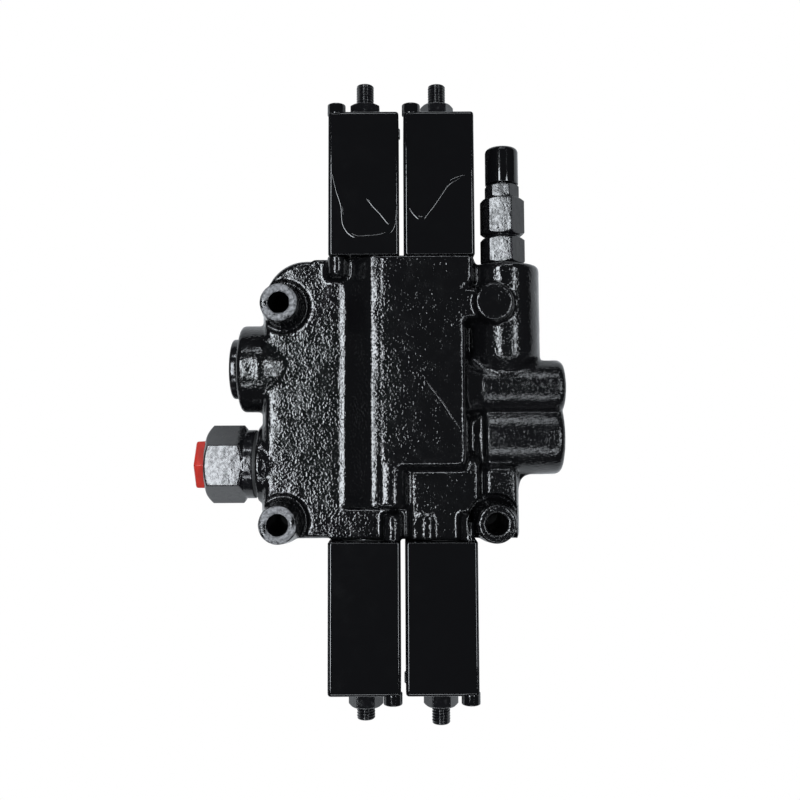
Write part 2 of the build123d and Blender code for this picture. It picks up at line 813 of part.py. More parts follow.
# Main relief cartridge
hex_foot = relief_boss_end_y + cartridge_washer
hex_top = hex_foot + cartridge_hex_length
housing_foot = hex_top + groove_length
housing_top = housing_foot + housing_length
nut_top = housing_top + relief_nut_height
relief_cap_top = nut_top + relief_cap_length
nose_bottom = half_length - relief_cavity_depth + relief_nose_gap
poppet_foot = nose_bottom + relief_nose_wall
relief_seat_y = housing_foot + relief_seat_length
relief_screw_top = nut_top + relief_cap_length / 2


def relief_plane(y):
    """Plane on the relief valve's axis at height y along it."""
    return end_plane(relief_x, y, spool_z, 1)


body_hex = hex_prism(relief_plane(hex_foot), cartridge_flats, cartridge_hex_length, cartridge_turn)
with BuildPart() as relief_body:
    with BuildSketch(relief_plane(nose_bottom)):
        Circle(relief_cavity_diameter / 2)
    extrude(amount=hex_foot - nose_bottom)
    add(body_hex)
    with BuildSketch(relief_plane(hex_top)):
        Circle(groove_diameter / 2)
    extrude(amount=groove_length)
    drill(relief_plane(housing_foot), relief_bore, housing_foot - poppet_foot)
    drill(relief_plane(housing_foot), relief_seat_bore, housing_foot - nose_bottom)
relief_body.part.label = "relief_cartridge_body"
export_step(relief_body.part, "parts/relief_cartridge_body.step")

with BuildPart() as relief_seal:
    with BuildSketch(relief_plane(relief_boss_end_y)):
        Circle(cartridge_flats / 2)
        Circle(relief_cavity_diameter / 2 + fit_gap, mode=Mode.SUBTRACT)
    extrude(amount=cartridge_washer)
relief_seal.part.label = "relief_seal"
export_step(relief_seal.part, "parts/relief_seal.step")

housing_hex = hex_prism(relief_plane(housing_foot), cartridge_flats, housing_length, cartridge_turn)
with BuildPart() as relief_housing:
    add(housing_hex)
    drill(relief_plane(housing_top - housing_top_wall), relief_bore, housing_length)
    drill(relief_plane(housing_top), relief_screw_diameter + 2 * fit_gap, housing_length)
relief_housing.part.label = "relief_spring_housing"
export_step(relief_housing.part, "parts/relief_spring_housing.step")

nut_hex = hex_prism(relief_plane(housing_top), relief_nut_flats, relief_nut_height, cartridge_turn)
with BuildPart() as relief_nut:
    add(nut_hex)
    drill(relief_plane(nut_top), relief_screw_diameter + 2 * fit_gap, relief_nut_height)
relief_nut.part.label = "relief_lock_nut"
export_step(relief_nut.part, "parts/relief_lock_nut.step")

with BuildPart() as relief_cap:
    with BuildSketch(relief_plane(nut_top + stroke_gap)):
        Circle(relief_cap_diameter / 2)
    extrude(amount=relief_cap_length - stroke_gap)
    fillet(relief_cap.faces().sort_by(Axis.Y)[-1].edges(), relief_cap_round)
    drill(relief_plane(relief_cap_top - relief_cap_top_wall), relief_cap_bore, relief_cap_length)
relief_cap.part.label = "relief_cap"
export_step(relief_cap.part, "parts/relief_cap.step")

with BuildPart() as relief_poppet:
    with BuildSketch(relief_plane(poppet_foot + fit_gap)):
        Circle(relief_bore / 2 - fit_gap)
    extrude(amount=relief_poppet_length)
    with BuildSketch(relief_plane(poppet_foot + fit_gap)):
        Circle(relief_seat_bore / 2 - fit_gap)
    extrude(amount=-relief_lift)
relief_poppet.part.label = "relief_poppet"
export_step(relief_poppet.part, "parts/relief_poppet.step")

with BuildPart() as relief_seat:
    with BuildSketch(relief_plane(relief_seat_y)):
        Circle(relief_bore / 2 - fit_gap)
    extrude(amount=relief_seat_length)
relief_seat.part.label = "relief_spring_seat"
export_step(relief_seat.part, "parts/relief_spring_seat.step")

with BuildPart() as relief_screw:
    with BuildSketch(relief_plane(relief_seat_y + relief_seat_length)):
        Circle(relief_screw_diameter / 2)
    extrude(amount=relief_screw_top - relief_seat_y - relief_seat_length)
    chamfer(relief_screw.faces().filter_by(Axis.Y).edges(), land_chamfer)
    with BuildSketch(relief_plane(relief_screw_top)):
        RegularPolygon(across(relief_screw_socket), 6)
    extrude(amount=-relief_screw_socket, mode=Mode.SUBTRACT)
relief_screw.part.label = "relief_adjuster"
export_step(relief_screw.part, "parts/relief_adjuster.step")

relief_spring = coil(
    relief_plane(poppet_foot + relief_poppet_length + 2 * fit_gap), relief_bore / 2 - relief_wire,
    relief_wire, relief_seat_y - poppet_foot - relief_poppet_length - 3 * fit_gap, relief_spring_turns,
)
relief_spring.label = "relief_spring"
export_step(relief_spring, "parts/relief_spring.step")

# Blanking plug of the upper left port
plug_foot = blank_reach + plug_washer
plug_plane = side_plane(-plug_foot, blank_y, left_port_z, -1)
with BuildPart() as port_plug:
    with BuildSketch(plug_plane):
        Circle(plug_collar_radius)
    extrude(amount=plug_collar)
    fillet(port_plug.faces().filter_by(GeomType.PLANE).sort_by(Axis.X)[0].edges(), plug_round)
    with BuildSketch(plug_plane):
        Circle(side_thread / 2)
    extrude(amount=-side_thread_length)
    with BuildSketch(side_plane(-plug_foot - plug_collar, blank_y, left_port_z, -1)):
        RegularPolygon(across(plug_socket), 6)
    extrude(amount=-2 * plug_collar, mode=Mode.SUBTRACT)
port_plug.part.label = "left_port_plug"
export_step(port_plug.part, "parts/left_port_plug.step")

with BuildPart() as plug_seal:
    with BuildSketch(side_plane(-blank_reach, blank_y, left_port_z, -1)):
        Circle(plug_collar_radius - seal_rim)
        Circle(side_thread / 2 + fit_gap, mode=Mode.SUBTRACT)
    extrude(amount=plug_washer)
plug_seal.part.label = "left_plug_seal"
export_step(plug_seal.part, "parts/left_plug_seal.step")

# Carry-over adapter with its protective plug
adapter_foot = adapter_boss_reach + adapter_washer
adapter_hex_foot = adapter_foot + adapter_neck
adapter_end = adapter_hex_foot + adapter_hex_length
adapter_plane = side_plane(-adapter_foot, adapter_y, left_port_z, -1)
adapter_outlet = side_plane(-adapter_end, adapter_y, left_port_z, -1)
adapter_hex = hex_prism(
    side_plane(-adapter_hex_foot, adapter_y, left_port_z, -1), adapter_flats, adapter_hex_length,
)
with BuildPart() as adapter:
    with BuildSketch(adapter_plane):
        Circle(adapter_neck_radius)
    extrude(amount=adapter_neck)
    with BuildSketch(adapter_plane):
        Circle(side_thread / 2)
    extrude(amount=-side_thread_length)
    add(adapter_hex)
    drill(adapter_outlet, adapter_bore, adapter_bore_depth)
    drill(adapter_outlet, tank_passage, adapter_end)
adapter.part.label = "carry_over_adapter"
export_step(adapter.part, "parts/carry_over_adapter.step")

with BuildPart() as adapter_seal:
    with BuildSketch(side_plane(-adapter_boss_reach, adapter_y, left_port_z, -1)):
        Circle(adapter_neck_radius - seal_rim)
        Circle(side_thread / 2 + fit_gap, mode=Mode.SUBTRACT)
    extrude(amount=adapter_washer)
adapter_seal.part.label = "adapter_seal"
export_step(adapter_seal.part, "parts/adapter_seal.step")

with BuildPart() as protector:
    with BuildSketch(adapter_outlet):
        RegularPolygon(protector_radius, 6, rotation=30)
    extrude(amount=protector_reach)
    fillet(protector.faces().sort_by(Axis.X)[0].edges(), protector_round)
    with BuildSketch(adapter_outlet):
        Circle(adapter_bore / 2 - fit_gap)
    extrude(amount=-protector_shank)
protector.part.label = "protective_plug"
export_step(protector.part, "parts/protective_plug.step")
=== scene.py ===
import json
import math

import bmesh
import bpy
from mathutils import Matrix, Vector, noise


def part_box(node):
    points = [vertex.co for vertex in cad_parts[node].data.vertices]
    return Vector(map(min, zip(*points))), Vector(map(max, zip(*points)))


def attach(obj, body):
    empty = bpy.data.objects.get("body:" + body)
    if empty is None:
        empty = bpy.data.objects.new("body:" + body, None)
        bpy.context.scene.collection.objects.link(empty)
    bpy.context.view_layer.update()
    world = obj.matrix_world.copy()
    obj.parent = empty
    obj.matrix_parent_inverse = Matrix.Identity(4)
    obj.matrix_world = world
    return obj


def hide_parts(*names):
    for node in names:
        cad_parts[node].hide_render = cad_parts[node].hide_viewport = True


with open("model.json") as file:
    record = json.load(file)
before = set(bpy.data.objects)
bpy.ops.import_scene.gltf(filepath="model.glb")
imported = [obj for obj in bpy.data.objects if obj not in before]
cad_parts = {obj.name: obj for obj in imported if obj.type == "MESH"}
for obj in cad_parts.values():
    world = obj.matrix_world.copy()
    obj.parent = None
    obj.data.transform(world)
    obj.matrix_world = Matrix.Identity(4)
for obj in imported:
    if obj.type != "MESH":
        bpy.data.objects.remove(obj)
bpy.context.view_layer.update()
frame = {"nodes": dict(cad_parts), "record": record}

# Lengths are in metres, in the frame of the model, and names ending in _MM are in millimetres
MM = 0.001
nodes = frame["nodes"]
noise.seed_set(7)

# Main sizes of the valve, as packed
CAP_FRONT_MM = 58.0
PLATEAU_MM = 57.8
MOUNT_FACE_MM = 63.0
DRILLED_BOSSES_MM = [(-65.6, -66.9), (49.4, -66.9), (-65.6, 50.5)]
BLANK_BOSS_MM = (49.4, 50.5)

# Camera
IMAGE_SIZE = 800
FOCAL_PIXELS = 876.5
OPTICAL_CENTRE = (402.0, 362.0)
SENSOR = 36.0
CAMERA_TILT = math.asin(0.0745)
CAMERA_ROLL = math.radians(-0.27)
CAMERA_DISTANCE = 468.5 * MM
NEAREST_SEEN = 0.01
AIM = Vector((0, 18.6 * MM, 58 * MM))
CAMERA_TURN = Matrix.Rotation(CAMERA_TILT, 4, "X") @ Matrix.Rotation(CAMERA_ROLL, 4, "Z")
CAMERA_PLACE = AIM + CAMERA_TURN @ Vector((0, 0, CAMERA_DISTANCE))


def seen_at(column, row, height_mm):
    """The point at a height that the camera sees at a place in the photograph."""
    across = column - OPTICAL_CENTRE[0]
    up = OPTICAL_CENTRE[1] - row
    ray = CAMERA_TURN @ Vector((across, up, -FOCAL_PIXELS))
    reach = (height_mm * MM - CAMERA_PLACE.z) / ray.z
    return CAMERA_PLACE + ray * reach


def add_camera():
    """Camera above the valve, tilted a little towards the lower end."""
    data = bpy.data.cameras.new("camera")
    data.sensor_width = SENSOR
    data.lens = FOCAL_PIXELS / IMAGE_SIZE * SENSOR
    data.shift_x = (IMAGE_SIZE / 2 - OPTICAL_CENTRE[0]) / IMAGE_SIZE
    data.shift_y = (OPTICAL_CENTRE[1] - IMAGE_SIZE / 2) / IMAGE_SIZE
    data.clip_start = NEAREST_SEEN
    camera = bpy.data.objects.new("camera", data)
    bpy.context.scene.collection.objects.link(camera)
    camera.matrix_world = Matrix.Translation(CAMERA_PLACE) @ CAMERA_TURN
    bpy.context.scene.camera = camera


# Light: four long panels around the valve, each with its place across the floor, its width,
# its length and the brightness of its face
LIGHT_HEIGHT = 1.2
LIGHT_AIM = Vector((0, 0, 40 * MM))
LIGHT_COLOUR = (0.90, 0.95, 1.0)
ROOM_COLOUR = (0.92, 0.96, 1.0)
ROOM_STRENGTH = 0.04
PANELS = {
    "left_panel": ((-0.40, 0.0), 0.19, 1.0, 20),
    "right_panel": ((0.72, 0.0), 0.15, 1.0, 15),
    "top_panel": ((0.05, 1.36), 1.0, 0.16, 13),
    "bottom_panel": ((0.05, -1.12), 1.0, 0.15, 12),
}


def add_panel(name, spot, width, length, brightness):
    """Rectangular soft light, turned towards the valve, with a given brightness of its face."""
    data = bpy.data.lights.new(name, "AREA")
    data.shape = "RECTANGLE"
    data.size = width
    data.size_y = length
    data.energy = brightness * math.pi * width * length
    data.color = LIGHT_COLOUR
    lamp = bpy.data.objects.new(name, data)
    bpy.context.scene.collection.objects.link(lamp)
    lamp.location = (*spot, LIGHT_HEIGHT)
    back = (lamp.location - LIGHT_AIM).normalized()
    across = Vector((0, 1, 0)).cross(back).normalized()
    along = back.cross(across)
    lamp.rotation_euler = Matrix((across, along, back)).transposed().to_euler()


def add_world():
    """White to the camera, and a dim plain room to everything else."""
    world = bpy.data.worlds.new("studio")
    bpy.context.scene.world = world
    world.use_nodes = True
    tree = world.node_tree
    tree.nodes.clear()
    out = tree.nodes.new("ShaderNodeOutputWorld")
    mix = tree.nodes.new("ShaderNodeMixShader")
    dim = tree.nodes.new("ShaderNodeBackground")
    white = tree.nodes.new("ShaderNodeBackground")
    path = tree.nodes.new("ShaderNodeLightPath")
    dim.inputs["Color"].default_value = (*ROOM_COLOUR, 1)
    dim.inputs["Strength"].default_value = ROOM_STRENGTH
    white.inputs["Color"].default_value = (1, 1, 1, 1)
    white.inputs["Strength"].default_value = 1.0
    tree.links.new(path.outputs["Is Camera Ray"], mix.inputs["Fac"])
    tree.links.new(dim.outputs["Background"], mix.inputs[1])
    tree.links.new(white.outputs["Background"], mix.inputs[2])
    tree.links.new(mix.outputs["Shader"], out.inputs["Surface"])


add_camera()
add_world()
for name, panel in PANELS.items():
    add_panel(name, *panel)


def make_piece(name, points, faces):
    """Smooth mesh object from points in metres and faces."""
    mesh = bpy.data.meshes.new(name)
    mesh.from_pydata(points, [], faces)
    mesh.update()
    for polygon in mesh.polygons:
        polygon.use_smooth = True
    piece = bpy.data.objects.new(name, mesh)
    bpy.context.scene.collection.objects.link(piece)
    return piece


def recalculate(piece):
    """Turn all faces of a closed piece outwards."""
    work = bmesh.new()
    work.from_mesh(piece.data)
    bmesh.ops.recalc_face_normals(work, faces=work.faces)
    work.to_mesh(piece.data)
    work.free()


# Floor, with painted shade: a dark disc on it under each drilled mounting boss
FLOOR_REACH = 3.0
FLOOR_TONE = 0.8
# Painted shade: the tone of the floor within HOLE_SHADOW_MM of each drilled boss's axis
PAINTED_HOLE_SHADE_TONE = 0.03
HOLE_SHADOW_MM = 14.0
CORNERS = [(-1, -1), (1, -1), (1, 1), (-1, 1)]
floor = make_piece(
    "floor",
    [(x * FLOOR_REACH, y * FLOOR_REACH, 0) for x, y in CORNERS],
    [(0, 1, 2, 3)],
)


def floor_material():
    """Matt floor, white to the camera, with painted shade: a dark disc under each mounting hole,
    seen through it.
    """
    material = bpy.data.materials.new("floor")
    material.use_nodes = True
    tree = material.node_tree
    tree.nodes.clear()
    out = tree.nodes.new("ShaderNodeOutputMaterial")
    matt = tree.nodes.new("ShaderNodeBsdfDiffuse")
    shade = tree.nodes.new("ShaderNodeMix")
    shade.data_type = "RGBA"
    shade.inputs["A"].default_value = (PAINTED_HOLE_SHADE_TONE, PAINTED_HOLE_SHADE_TONE, PAINTED_HOLE_SHADE_TONE, 1)
    shade.inputs["B"].default_value = (FLOOR_TONE, FLOOR_TONE, FLOOR_TONE, 1)
    glow = tree.nodes.new("ShaderNodeEmission")
    glow.inputs["Color"].default_value = (1, 1, 1, 1)
    glow.inputs["Strength"].default_value = 1.0
    mix = tree.nodes.new("ShaderNodeMixShader")
    path = tree.nodes.new("ShaderNodeLightPath")
    place = tree.nodes.new("ShaderNodeTexCoord").outputs["Object"]

    def product(first, second):
        step = tree.nodes.new("ShaderNodeMath")
        step.operation = "MULTIPLY"
        tree.links.new(first, step.inputs[0])
        tree.links.new(second, step.inputs[1])
        return step.outputs["Value"]

    # Painted shade: dark matt floor within HOLE_SHADOW_MM of each drilled boss, matt and white to
    # the camera elsewhere
    clear = None
    for x, y in DRILLED_BOSSES_MM:
        distance = tree.nodes.new("ShaderNodeVectorMath")
        distance.operation = "DISTANCE"
        distance.inputs[1].default_value = (x * MM, y * MM, 0)
        tree.links.new(place, distance.inputs[0])
        outside = tree.nodes.new("ShaderNodeMath")
        outside.operation = "GREATER_THAN"
        outside.inputs[1].default_value = HOLE_SHADOW_MM * MM
        tree.links.new(distance.outputs["Value"], outside.inputs[0])
        beside = outside.outputs["Value"]
        clear = beside if clear is None else product(clear, beside)
    lit = product(clear, path.outputs["Is Camera Ray"])
    tree.links.new(lit, mix.inputs["Fac"])
    tree.links.new(clear, shade.inputs["Factor"])
    tree.links.new(shade.outputs["Result"], matt.inputs["Color"])
    tree.links.new(matt.outputs["BSDF"], mix.inputs[1])
    tree.links.new(glow.outputs["Emission"], mix.inputs[2])
    tree.links.new(mix.outputs["Shader"], out.inputs["Surface"])
    return material


floor.data.materials.append(floor_material())


# Materials
def grey(tone):
    """Colour with three equal parts."""
    return (tone, tone, tone)


class Surface:
    """Principled material whose bumps are chained, each with its own scale."""

    def __init__(self, name, colour, roughness, metallic=0.0):
        self.material = bpy.data.materials.new(name)
        self.material.use_nodes = True
        self.tree = self.material.node_tree
        self.shader = self.tree.nodes["Principled BSDF"]
        self.shader.inputs["Base Color"].default_value = (*colour, 1)
        self.shader.inputs["Roughness"].default_value = roughness
        self.shader.inputs["Metallic"].default_value = metallic
        self.place = self.tree.nodes.new("ShaderNodeTexCoord").outputs["Object"]
        self.normal = None

    def feed(self, socket, value):
        """Link a socket to another, or set it to a number or a colour."""
        if isinstance(value, bpy.types.NodeSocket):
            self.tree.links.new(value, socket)
        else:
            socket.default_value = value

    def noise(self, size_mm, detail=2.0, stretch=(1, 1, 1)):
        """Noise with features of about size_mm."""
        mapping = self.tree.nodes.new("ShaderNodeMapping")
        mapping.inputs["Scale"].default_value = stretch
        grain = self.tree.nodes.new("ShaderNodeTexNoise")
        grain.inputs["Scale"].default_value = 1 / (size_mm * MM)
        grain.inputs["Detail"].default_value = detail
        self.tree.links.new(self.place, mapping.inputs["Vector"])
        self.tree.links.new(mapping.outputs["Vector"], grain.inputs["Vector"])
        return grain.outputs["Fac"]

    def ramp(self, value, low, high, colour_low=grey(0), colour_high=grey(1)):
        """Value mapped to colours between two stops."""
        ramp = self.tree.nodes.new("ShaderNodeValToRGB")
        ramp.color_ramp.elements[0].position = low
        ramp.color_ramp.elements[0].color = (*colour_low, 1)
        ramp.color_ramp.elements[1].position = high
        ramp.color_ramp.elements[1].color = (*colour_high, 1)
        self.tree.links.new(value, ramp.inputs["Fac"])
        return ramp.outputs["Color"]

    def bump(self, height, depth_mm):
        """One more layer of bumps, depth_mm from lowest to highest."""
        layer = self.tree.nodes.new("ShaderNodeBump")
        layer.inputs["Strength"].default_value = 1.0
        layer.inputs["Distance"].default_value = depth_mm * MM
        self.tree.links.new(height, layer.inputs["Height"])
        if self.normal is not None:
            self.tree.links.new(self.normal, layer.inputs["Normal"])
        self.normal = layer.outputs["Normal"]
        self.tree.links.new(self.normal, self.shader.inputs["Normal"])

    def math(self, operation, first, second):
        """Arithmetic on two values or sockets."""
        step = self.tree.nodes.new("ShaderNodeMath")
        step.operation = operation
        self.feed(step.inputs[0], first)
        self.feed(step.inputs[1], second)
        return step.outputs["Value"]

    def mix(self, kind, share, first, second):
        """Blend by a share of two colours, for kind RGBA, or of two values, for kind FLOAT."""
        blend = self.tree.nodes.new("ShaderNodeMix")
        blend.data_type = kind
        self.feed(blend.inputs["Factor"], share)
        self.feed(blend.inputs["A"], first)
        self.feed(blend.inputs["B"], second)
        return blend.outputs["Result"]

    def along(self, axis):
        """Coordinate of each point along an axis, in metres."""
        split = self.tree.nodes.new("ShaderNodeSeparateXYZ")
        self.tree.links.new(self.place, split.inputs["Vector"])
        return split.outputs[axis]


# Cast body: thick gloss paint over sand-cast iron, rougher on the bosses of the right ports
CAST_BLACK = (0.004, 0.004, 0.0045)
PORTS_LEFT_MM = 44
PORTS_TOP_MM = 24
cast = Surface("cast_black_paint", CAST_BLACK, 0.16)
patches = cast.ramp(cast.noise(17.0, 2.0), 0.35, 0.62, grey(0.6), grey(1.0))
pimples = cast.ramp(cast.noise(1.3, 1.0), 0.48, 0.74)
right_of_plateau = cast.math("GREATER_THAN", cast.along("X"), PORTS_LEFT_MM * MM)
below_relief_valve = cast.math("LESS_THAN", cast.along("Y"), PORTS_TOP_MM * MM)
rough_ports = cast.math("MULTIPLY", right_of_plateau, below_relief_valve)
cast.bump(cast.noise(14.0, 1.0), 0.25)
cast.bump(cast.math("MULTIPLY", cast.noise(4.0, 1.0), patches), 0.12)
cast.bump(cast.math("MULTIPLY", pimples, patches), 0.08)
cast.bump(cast.math("MULTIPLY", cast.noise(1.0, 2.0), rough_ports), 0.16)
cast_roughness = cast.ramp(cast.noise(5.0, 3.0), 0.40, 0.72, grey(0.07), grey(0.17))

# The two left mounting faces are worn to grey
WORN_FROM_MM = MOUNT_FACE_MM - 0.5
WORN_LEFT_OF_MM = -20
WORN_ROUGHNESS = 0.5
on_face = cast.math("GREATER_THAN", cast.along("Z"), WORN_FROM_MM * MM)
on_left = cast.math("LESS_THAN", cast.along("X"), WORN_LEFT_OF_MM * MM)
worn_patch = cast.ramp(cast.noise(5.5, 4.0), 0.36, 0.50)
worn = cast.math("MULTIPLY", cast.math("MULTIPLY", on_face, worn_patch), on_left)
worn_tone = cast.ramp(cast.noise(1.5, 4.0), 0.35, 0.70, (0.055, 0.055, 0.058), (0.30, 0.30, 0.31))
cast.feed(cast.shader.inputs["Base Color"], cast.mix("RGBA", worn, (*CAST_BLACK, 1), worn_tone))
cast.feed(cast.shader.inputs["Roughness"], cast.mix("FLOAT", worn, cast_roughness, WORN_ROUGHNESS))

# Machined parts under the same paint: smooth, with a little orange peel
gloss = Surface("gloss_black_paint", (0.0035, 0.0035, 0.004), 0.10)
gloss.bump(gloss.noise(13.0, 1.5), 0.12)
gloss.bump(gloss.noise(2.6, 2.0), 0.018)
gloss_roughness = gloss.ramp(gloss.noise(9.0, 2.0), 0.35, 0.75, grey(0.05), grey(0.11))
gloss.feed(gloss.shader.inputs["Roughness"], gloss_roughness)

# Fittings: a pitted, runny coat of the same paint
pitted = Surface("pitted_black_paint", (0.006, 0.006, 0.007), 0.18)
pitted.bump(pitted.noise(6.0, 2.0, (1, 0.5, 1)), 0.12)
pitted.bump(pitted.noise(1.2, 2.0), 0.04)
pitted_roughness = pitted.ramp(pitted.noise(2.4, 3.0), 0.42, 0.70, grey(0.08), grey(0.30))
pitted.feed(pitted.shader.inputs["Roughness"], pitted_roughness)

# Inner parts and the protective plug
steel = Surface("ground_steel", (0.45, 0.45, 0.46), 0.3, 1.0)
steel.bump(steel.noise(0.8, 3.0, (1, 8, 1)), 0.01)
spring_steel = Surface("spring_steel", (0.28, 0.29, 0.31), 0.35, 1.0)
spring_steel.bump(spring_steel.noise(0.6), 0.01)
rubber = Surface("seal_rubber", (0.02, 0.02, 0.02), 0.6)
rubber.bump(rubber.noise(0.8), 0.02)
red = Surface("red_plastic", (0.50, 0.022, 0.012), 0.38)
red.bump(red.noise(2.5, 2.0), 0.03)
red_tone = red.ramp(red.noise(6.0, 3.0), 0.3, 0.75, (0.44, 0.019, 0.010), (0.58, 0.030, 0.016))
red.feed(red.shader.inputs["Base Color"], red_tone)

by_slot = {
    "cast_black_paint": cast.material,
    "gloss_black_paint": gloss.material,
    "ground_steel": steel.material,
    "spring_steel": spring_steel.material,
    "seal_rubber": rubber.material,
    "red_plastic": red.material,
}
for part in frame["record"]["subparts"]:
    for slot in nodes[part["node"]].material_slots:
        slot.material = by_slot[part["material_slot"]]
body_of = {}
for body, names in frame["record"]["behaviour"]["bodies"].items():
    for name in names:
        body_of[name] = body


def applied(piece):
    """Keep what the modifiers of a piece give as its mesh."""
    graph = bpy.context.evaluated_depsgraph_get()
    result = bpy.data.meshes.new_from_object(piece.evaluated_get(graph))
    piece.modifiers.clear()
    piece.data = result


def finish_piece(piece, body, material):
    """Give a piece its body and its material."""
    piece.data.materials.clear()
    piece.data.materials.append(material)
    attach(piece, body)


SMOOTHING = 0.5


def coated(name, voxel_mm, rounds, material):
    """Copy of a CAD node with the soft edges that a thick coat of paint gives it."""
    piece = bpy.data.objects.new(name + "_painted", nodes[name].data.copy())
    bpy.context.scene.collection.objects.link(piece)
    remesh = piece.modifiers.new("remesh", "REMESH")
    remesh.mode = "VOXEL"
    remesh.voxel_size = voxel_mm * MM
    remesh.use_smooth_shade = True
    soften = piece.modifiers.new("soften", "SMOOTH")
    soften.factor = SMOOTHING
    soften.iterations = rounds
    applied(piece)
    for polygon in piece.data.polygons:
        polygon.use_smooth = True
    finish_piece(piece, body_of[name], material)
    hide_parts(name)
    return piece


def soften_region(piece, rounds, weight):
    """Smooth a piece more where the weight of a place in millimetres is high."""
    group = piece.vertex_groups.new(name="soft")
    for vertex in piece.data.vertices:
        share = weight(vertex.co / MM)
        if share > 0:
            group.add([vertex.index], share, "REPLACE")
    soften = piece.modifiers.new("soften", "SMOOTH")
    soften.factor = SMOOTHING
    soften.iterations = rounds
    soften.vertex_group = "soft"
    applied(piece)
    piece.vertex_groups.clear()


def inside(value, low, high, fade):
    """1 between two limits, falling to 0 over a fade outside them."""
    return min(1.0, max(0.0, min(value - low, high - value) / fade + 1.0))


# Casting with the soft inner corners of a sand casting
BODY_VOXEL_MM = 0.8
BODY_ROUNDS = 7
SKIN_FROM_MM = 10
SKIN_REACH_MM = 78
SKIN_END_MM = 74
BOSS_CLEAR_MM = 17
SKIN_ROUNDS = 14
LUG_ROUNDS = 40
body_cast = coated("valve_body", BODY_VOXEL_MM, BODY_ROUNDS, cast.material)


def skin_weight(place):
    """1 on the rough casting, 0 on the mounting bosses, the port ends and the port face."""
    if place.z < SKIN_FROM_MM or abs(place.x) > SKIN_REACH_MM:
        return 0.0
    bosses = DRILLED_BOSSES_MM + [BLANK_BOSS_MM]
    near = min(math.hypot(place.x - x, place.y - y) for x, y in bosses)
    beside_bosses = inside(near, BOSS_CLEAR_MM, math.inf, 2)
    return beside_bosses * inside(place.y, -SKIN_END_MM, SKIN_END_MM, 2)


def lug_weight(place):
    """Share of the lug beside the upper left cap."""
    across = inside(place.x, -44, -28, 2)
    return across * inside(place.y, 60, 74, 2) * inside(place.z, 43, 60, 1.5)


# Ridge over the left spool, with a gentle foot and shoulder, as pairs of X and height
RIDGE_MM = [(-36.0, 45.9), (-34.9, 45.9), (-30.6, 46.4), (-17.2, 57.15), (-12.0, 57.7)]
RIDGE_LOW_MM = -58.45
RIDGE_HIGH_MM = 76
RIDGE_BASE_MM = 45.2
UPPER_LUG_FROM_MM = 64
UPPER_LUG_RIGHT_MM = -29


def ridge_height(x):
    """Height of the ridge at X, both in millimetres."""
    for (x_low, z_low), (x_high, z_high) in zip(RIDGE_MM, RIDGE_MM[1:]):
        if x <= x_high:
            return z_low + (z_high - z_low) * (x - x_low) / (x_high - x_low)
    return RIDGE_MM[-1][1]


def in_ridge(place):
    """Whether a place in millimetres is on the ridge and not on the lug at its upper end."""
    across = RIDGE_MM[0][0] < place.x < RIDGE_MM[-1][0]
    along = RIDGE_LOW_MM < place.y < RIDGE_HIGH_MM
    in_lug = place.y > UPPER_LUG_FROM_MM and place.x < UPPER_LUG_RIGHT_MM
    return across and along and place.z > RIDGE_BASE_MM and not in_lug


for vertex in body_cast.data.vertices:
    place = vertex.co / MM
    if in_ridge(place):
        vertex.co.z = min(place.z, ridge_height(place.x)) * MM
soften_region(body_cast, SKIN_ROUNDS, skin_weight)
soften_region(body_cast, LUG_ROUNDS, lug_weight)

# Uneven skin: every point of the casting moves inwards, by a depth that varies
SKIN_MM = 0.14
SKIN_LOW_MM = 8.0
SKIN_HIGH_MM = MOUNT_FACE_MM - 0.6
BROAD_SIZE_MM = 9.0
BROAD_MM = 0.10
MIDDLE_SIZE_MM = 3.0
MIDDLE_MM = 0.035
MIDDLE_SHIFT = Vector((31, 7, 3))
skin = body_cast.data
outward = [vertex.normal.copy() for vertex in skin.vertices]
moved = []
for vertex, normal in zip(skin.vertices, outward):
    place = vertex.co / MM
    depth = 0.0
    if SKIN_LOW_MM < place.z < SKIN_HIGH_MM:
        broad = noise.noise(place / BROAD_SIZE_MM)
        middle = noise.noise(place / MIDDLE_SIZE_MM + MIDDLE_SHIFT)
        depth = SKIN_MM - BROAD_MM * broad - MIDDLE_MM * middle
    moved.extend(vertex.co - normal * (min(max(depth, 0.0), 2 * SKIN_MM) * MM))
skin.vertices.foreach_set("co", moved)
skin.update()

# Painted parts, each with the size of its voxels in millimetres and its rounds of smoothing
cap_names = [number + letter for number in "12" for letter in "ab"]
for name in cap_names:
    coated("pilot_cap_" + name, 0.5, 4, gloss.material)
    coated("cap_screws_" + name, 0.32, 3, gloss.material)
    coated("lock_nut_" + name, 0.3, 3, pitted.material)
for name in ("relief_cartridge_body", "relief_spring_housing", "relief_lock_nut"):
    coated(name, 0.3, 3, pitted.material)
coated("relief_cap", 0.3, 3, gloss.material)
coated("left_port_plug", 0.4, 3, pitted.material)
coated("carry_over_adapter", 0.4, 4, pitted.material)
coated("adjuster_washers", 0.3, 3, gloss.material)
coated("protective_plug", 0.3, 3, red.material)

# Threaded adjusters
THREAD_PITCH_MM = 1.5
THREAD_DEPTH_MM = 0.75
CREST_SHARE = 1.25
FLANK_SLOPE = 3.4
SIDES = 40
STEP_MM = 0.25
TIP_ROUND_MM = 1.2
SOCKET_MM = 5.0


def thread_radius(along, length, radius, angle):
    """Radius in millimetres of a threaded rod at a place along it and around it."""
    phase = (along / THREAD_PITCH_MM - angle / (2 * math.pi)) % 1.0
    share = CREST_SHARE - abs(phase - 0.5) * FLANK_SLOPE
    groove = THREAD_DEPTH_MM * min(1.0, max(0.0, share))
    edge = min(along, length - along)
    short_of_round = max(0.0, TIP_ROUND_MM - edge)
    ends_in = TIP_ROUND_MM - math.sqrt(max(0.0, TIP_ROUND_MM ** 2 - short_of_round ** 2))
    groove *= min(1.0, edge / (2 * TIP_ROUND_MM))
    return radius - groove - ends_in


